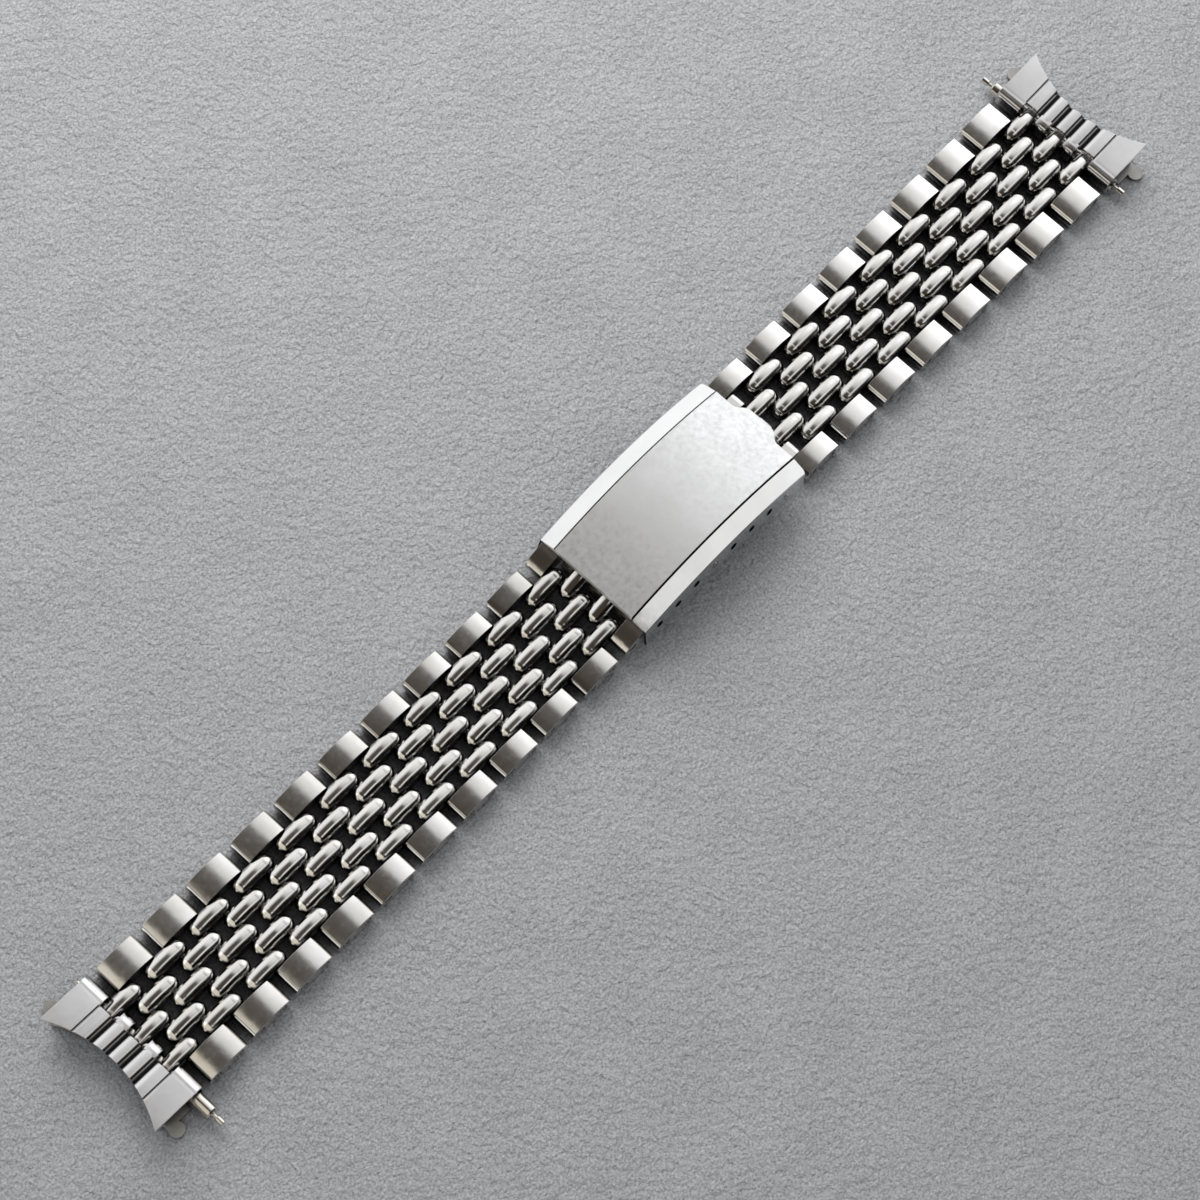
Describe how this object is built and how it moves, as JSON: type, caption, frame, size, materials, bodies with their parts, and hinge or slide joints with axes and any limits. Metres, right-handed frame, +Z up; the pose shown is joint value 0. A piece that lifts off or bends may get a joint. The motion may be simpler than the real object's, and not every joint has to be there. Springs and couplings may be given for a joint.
{
  "type": "watch bracelet",
  "caption": "Steel watch bracelet of polished beads between satin outer links, with curved hollow end links, spring bars and a folding clasp with adjustment holes.",
  "frame": {"origin": "on the table under the middle of the bracelet's length and width", "axes": "+X along the bracelet towards the short half, +Y across it, +Z up from the underside"},
  "size_m": [0.1692, 0.0252, 0.0079],
  "materials": {
    "link_satin": "fine satin with bright ends",
    "bead_polish": "polished",
    "cover_satin": "fine lengthwise satin, polished edges",
    "blade_steel": "rolled sheet",
    "end_satin": "satin sheet",
    "liner_steel": "dull sheet",
    "pin_steel": "turned"
  },
  "bodies": {
    "lower_blade": {"clasp_lower_blade": "blade_steel", "clasp_fold_pin": "pin_steel"},
    "upper_blade": {"clasp_upper_blade": "blade_steel"},
    "cover": {"clasp_cover": "cover_satin", "clasp_lip_pin": "pin_steel", "clasp_adjust_bar": "pin_steel"},
    "long_beads_12": {"long_beads_12": "bead_polish"},
    "long_links_12": {"long_links_12": "link_satin"},
    "long_beads_11": {"long_beads_11": "bead_polish"},
    "long_links_11": {"long_links_11": "link_satin"},
    "long_beads_10": {"long_beads_10": "bead_polish"},
    "long_links_10": {"long_links_10": "link_satin"},
    "long_beads_09": {"long_beads_09": "bead_polish"},
    "long_links_09": {"long_links_09": "link_satin"},
    "long_beads_08": {"long_beads_08": "bead_polish"},
    "long_links_08": {"long_links_08": "link_satin"},
    "long_beads_07": {"long_beads_07": "bead_polish"},
    "long_links_07": {"long_links_07": "link_satin"},
    "long_beads_06": {"long_beads_06": "bead_polish"},
    "long_links_06": {"long_links_06": "link_satin"},
    "long_beads_05": {"long_beads_05": "bead_polish"},
    "long_links_05": {"long_links_05": "link_satin"},
    "long_beads_04": {"long_beads_04": "bead_polish"},
    "long_links_04": {"long_links_04": "link_satin"},
    "long_beads_03": {"long_beads_03": "bead_polish"},
    "long_links_03": {"long_links_03": "link_satin"},
    "long_beads_02": {"long_beads_02": "bead_polish"},
    "long_links_02": {"long_links_02": "link_satin"},
    "long_beads_01": {"long_beads_01": "bead_polish"},
    "long_links_01": {"long_links_01": "link_satin"},
    "long_beads_00": {"long_beads_00": "bead_polish"},
    "long_end_link": {"long_end_shell": "end_satin", "long_end_liner": "liner_steel", "long_bar_barrel": "pin_steel"},
    "short_links_01": {"short_links_01": "link_satin"},
    "short_beads_01": {"short_beads_01": "bead_polish"},
    "short_links_02": {"short_links_02": "link_satin"},
    "short_beads_02": {"short_beads_02": "bead_polish"},
    "short_links_03": {"short_links_03": "link_satin"},
    "short_beads_03": {"short_beads_03": "bead_polish"},
    "short_links_04": {"short_links_04": "link_satin"},
    "short_beads_04": {"short_beads_04": "bead_polish"},
    "short_links_05": {"short_links_05": "link_satin"},
    "short_beads_05": {"short_beads_05": "bead_polish"},
    "short_links_06": {"short_links_06": "link_satin"},
    "short_beads_06": {"short_beads_06": "bead_polish"},
    "short_links_07": {"short_links_07": "link_satin"},
    "short_beads_07": {"short_beads_07": "bead_polish"},
    "short_links_08": {"short_links_08": "link_satin"},
    "short_beads_08": {"short_beads_08": "bead_polish"},
    "short_end_link": {"short_end_shell": "end_satin", "short_end_liner": "liner_steel", "short_bar_barrel": "pin_steel"},
    "long_tip_left": {"long_bar_tip_left": "pin_steel"},
    "long_tip_right": {"long_bar_tip_right": "pin_steel"},
    "short_tip_left": {"short_bar_tip_left": "pin_steel"},
    "short_tip_right": {"short_bar_tip_right": "pin_steel"}
  },
  "joints": [
    {"name": "clasp_fold_hinge", "type": "hinge", "parent": "lower_blade", "child": "upper_blade", "pos_m": [-0.00441, 0, 0.0007], "axis": [0, -1, 0], "range_deg": [0, 165]},
    {"name": "clasp_lip_hinge", "type": "hinge", "parent": "upper_blade", "child": "cover", "pos_m": [0.0185, 0, 0.00429], "axis": [0, 1, 0], "range_deg": [0, 165]},
    {"name": "long_end_hinge", "type": "hinge", "parent": "long_beads_00", "child": "long_end_link", "pos_m": [-0.07859, 0, 0.0014], "axis": [0, -1, 0], "range_deg": [-10, 25]},
    {"name": "short_end_hinge", "type": "hinge", "parent": "short_beads_08", "child": "short_end_link", "pos_m": [0.07859, 0, 0.0014], "axis": [0, 1, 0], "range_deg": [-10, 25]},
    {"name": "long_tip_left_slide", "type": "slide", "parent": "long_end_link", "child": "long_tip_left", "axis": [0, -1, 0], "range_m": [0, 0.0012], "stiffness_N_per_m": 400},
    {"name": "long_tip_right_slide", "type": "slide", "parent": "long_end_link", "child": "long_tip_right", "axis": [0, 1, 0], "range_m": [0, 0.0012], "stiffness_N_per_m": 400},
    {"name": "short_tip_left_slide", "type": "slide", "parent": "short_end_link", "child": "short_tip_left", "axis": [0, -1, 0], "range_m": [0, 0.0012], "stiffness_N_per_m": 400},
    {"name": "short_tip_right_slide", "type": "slide", "parent": "short_end_link", "child": "short_tip_right", "axis": [0, 1, 0], "range_m": [0, 0.0012], "stiffness_N_per_m": 400},
    {"name": "long_pin_01", "type": "hinge", "parent": "cover", "child": "long_beads_12", "pos_m": [0.00599, 0, 0.00536], "axis": [0, -1, 0], "range_deg": [-0.5, 1]},
    {"name": "long_pin_02", "type": "hinge", "parent": "long_beads_12", "child": "long_links_12", "pos_m": [0.00261, 0, 0.00499], "axis": [0, 1, 0], "range_deg": [-1.5, 0.8]},
    {"name": "long_pin_03", "type": "hinge", "parent": "long_links_12", "child": "long_beads_11", "pos_m": [-0.00073, 0, 0.00435], "axis": [0, -1, 0], "range_deg": [-1.5, 2]},
    {"name": "long_pin_04", "type": "hinge", "parent": "long_beads_11", "child": "long_links_11", "pos_m": [-0.00401, 0, 0.00344], "axis": [0, 1, 0], "range_deg": [-6, 5]},
    {"name": "long_pin_05", "type": "hinge", "parent": "long_links_11", "child": "long_beads_10", "pos_m": [-0.00725, 0, 0.00242], "axis": [0, -1, 0], "range_deg": [-12, 25]},
    {"name": "long_pin_06", "type": "hinge", "parent": "long_beads_10", "child": "long_links_10", "pos_m": [-0.01061, 0, 0.00189], "axis": [0, 1, 0], "range_deg": [-25, 12]},
    {"name": "long_pin_07", "type": "hinge", "parent": "long_links_10", "child": "long_beads_09", "pos_m": [-0.014, 0, 0.00159], "axis": [0, -1, 0], "range_deg": [-12, 25]},
    {"name": "long_pin_08", "type": "hinge", "parent": "long_beads_09", "child": "long_links_09", "pos_m": [-0.0174, 0, 0.00147], "axis": [0, 1, 0], "range_deg": [-25, 12]},
    {"name": "long_pin_09", "type": "hinge", "parent": "long_links_09", "child": "long_beads_08", "pos_m": [-0.0208, 0, 0.0014], "axis": [0, -1, 0], "range_deg": [-12, 25]},
    {"name": "long_pin_10", "type": "hinge", "parent": "long_beads_08", "child": "long_links_08", "pos_m": [-0.0242, 0, 0.0014], "axis": [0, 1, 0], "range_deg": [-25, 12]},
    {"name": "long_pin_11", "type": "hinge", "parent": "long_links_08", "child": "long_beads_07", "pos_m": [-0.0276, 0, 0.0014], "axis": [0, -1, 0], "range_deg": [-12, 25]},
    {"name": "long_pin_12", "type": "hinge", "parent": "long_beads_07", "child": "long_links_07", "pos_m": [-0.031, 0, 0.0014], "axis": [0, 1, 0], "range_deg": [-25, 12]},
    {"name": "long_pin_13", "type": "hinge", "parent": "long_links_07", "child": "long_beads_06", "pos_m": [-0.0344, 0, 0.0014], "axis": [0, -1, 0], "range_deg": [-12, 25]},
    {"name": "long_pin_14", "type": "hinge", "parent": "long_beads_06", "child": "long_links_06", "pos_m": [-0.0378, 0, 0.0014], "axis": [0, 1, 0], "range_deg": [-25, 12]},
    {"name": "long_pin_15", "type": "hinge", "parent": "long_links_06", "child": "long_beads_05", "pos_m": [-0.0412, 0, 0.0014], "axis": [0, -1, 0], "range_deg": [-12, 25]},
    {"name": "long_pin_16", "type": "hinge", "parent": "long_beads_05", "child": "long_links_05", "pos_m": [-0.0446, 0, 0.0014], "axis": [0, 1, 0], "range_deg": [-25, 12]},
    {"name": "long_pin_17", "type": "hinge", "parent": "long_links_05", "child": "long_beads_04", "pos_m": [-0.048, 0, 0.0014], "axis": [0, -1, 0], "range_deg": [-12, 25]},
    {"name": "long_pin_18", "type": "hinge", "parent": "long_beads_04", "child": "long_links_04", "pos_m": [-0.0514, 0, 0.0014], "axis": [0, 1, 0], "range_deg": [-25, 12]},
    {"name": "long_pin_19", "type": "hinge", "parent": "long_links_04", "child": "long_beads_03", "pos_m": [-0.0548, 0, 0.0014], "axis": [0, -1, 0], "range_deg": [-12, 25]},
    {"name": "long_pin_20", "type": "hinge", "parent": "long_beads_03", "child": "long_links_03", "pos_m": [-0.05819, 0, 0.0014], "axis": [0, 1, 0], "range_deg": [-25, 12]},
    {"name": "long_pin_21", "type": "hinge", "parent": "long_links_03", "child": "long_beads_02", "pos_m": [-0.06159, 0, 0.0014], "axis": [0, -1, 0], "range_deg": [-12, 25]},
    {"name": "long_pin_22", "type": "hinge", "parent": "long_beads_02", "child": "long_links_02", "pos_m": [-0.06499, 0, 0.0014], "axis": [0, 1, 0], "range_deg": [-25, 12]},
    {"name": "long_pin_23", "type": "hinge", "parent": "long_links_02", "child": "long_beads_01", "pos_m": [-0.06839, 0, 0.0014], "axis": [0, -1, 0], "range_deg": [-12, 25]},
    {"name": "long_pin_24", "type": "hinge", "parent": "long_beads_01", "child": "long_links_01", "pos_m": [-0.07179, 0, 0.0014], "axis": [0, 1, 0], "range_deg": [-25, 12]},
    {"name": "long_pin_25", "type": "hinge", "parent": "long_links_01", "child": "long_beads_00", "pos_m": [-0.07519, 0, 0.0014], "axis": [0, -1, 0], "range_deg": [-12, 25]},
    {"name": "short_pin_01", "type": "hinge", "parent": "lower_blade", "child": "short_links_01", "pos_m": [0.0242, 0, 0.0014], "axis": [0, 1, 0], "range_deg": [-12, 25]},
    {"name": "short_pin_02", "type": "hinge", "parent": "short_links_01", "child": "short_beads_01", "pos_m": [0.0276, 0, 0.0014], "axis": [0, -1, 0], "range_deg": [-25, 12]},
    {"name": "short_pin_03", "type": "hinge", "parent": "short_beads_01", "child": "short_links_02", "pos_m": [0.031, 0, 0.0014], "axis": [0, 1, 0], "range_deg": [-12, 25]},
    {"name": "short_pin_04", "type": "hinge", "parent": "short_links_02", "child": "short_beads_02", "pos_m": [0.0344, 0, 0.0014], "axis": [0, -1, 0], "range_deg": [-25, 12]},
    {"name": "short_pin_05", "type": "hinge", "parent": "short_beads_02", "child": "short_links_03", "pos_m": [0.0378, 0, 0.0014], "axis": [0, 1, 0], "range_deg": [-12, 25]},
    {"name": "short_pin_06", "type": "hinge", "parent": "short_links_03", "child": "short_beads_03", "pos_m": [0.0412, 0, 0.0014], "axis": [0, -1, 0], "range_deg": [-25, 12]},
    {"name": "short_pin_07", "type": "hinge", "parent": "short_beads_03", "child": "short_links_04", "pos_m": [0.0446, 0, 0.0014], "axis": [0, 1, 0], "range_deg": [-12, 25]},
    {"name": "short_pin_08", "type": "hinge", "parent": "short_links_04", "child": "short_beads_04", "pos_m": [0.048, 0, 0.0014], "axis": [0, -1, 0], "range_deg": [-25, 12]},
    {"name": "short_pin_09", "type": "hinge", "parent": "short_beads_04", "child": "short_links_05", "pos_m": [0.0514, 0, 0.0014], "axis": [0, 1, 0], "range_deg": [-12, 25]},
    {"name": "short_pin_10", "type": "hinge", "parent": "short_links_05", "child": "short_beads_05", "pos_m": [0.0548, 0, 0.0014], "axis": [0, -1, 0], "range_deg": [-25, 12]},
    {"name": "short_pin_11", "type": "hinge", "parent": "short_beads_05", "child": "short_links_06", "pos_m": [0.05819, 0, 0.0014], "axis": [0, 1, 0], "range_deg": [-12, 25]},
    {"name": "short_pin_12", "type": "hinge", "parent": "short_links_06", "child": "short_beads_06", "pos_m": [0.06159, 0, 0.0014], "axis": [0, -1, 0], "range_deg": [-25, 12]},
    {"name": "short_pin_13", "type": "hinge", "parent": "short_beads_06", "child": "short_links_07", "pos_m": [0.06499, 0, 0.0014], "axis": [0, 1, 0], "range_deg": [-12, 25]},
    {"name": "short_pin_14", "type": "hinge", "parent": "short_links_07", "child": "short_beads_07", "pos_m": [0.06839, 0, 0.0014], "axis": [0, -1, 0], "range_deg": [-25, 12]},
    {"name": "short_pin_15", "type": "hinge", "parent": "short_beads_07", "child": "short_links_08", "pos_m": [0.07179, 0, 0.0014], "axis": [0, 1, 0], "range_deg": [-12, 25]},
    {"name": "short_pin_16", "type": "hinge", "parent": "short_links_08", "child": "short_beads_08", "pos_m": [0.07519, 0, 0.0014], "axis": [0, -1, 0], "range_deg": [-25, 12]}
  ],
  "couplings": [
    {"joint": "clasp_lip_hinge", "follows": "clasp_fold_hinge", "ratio": 1}
  ]
}
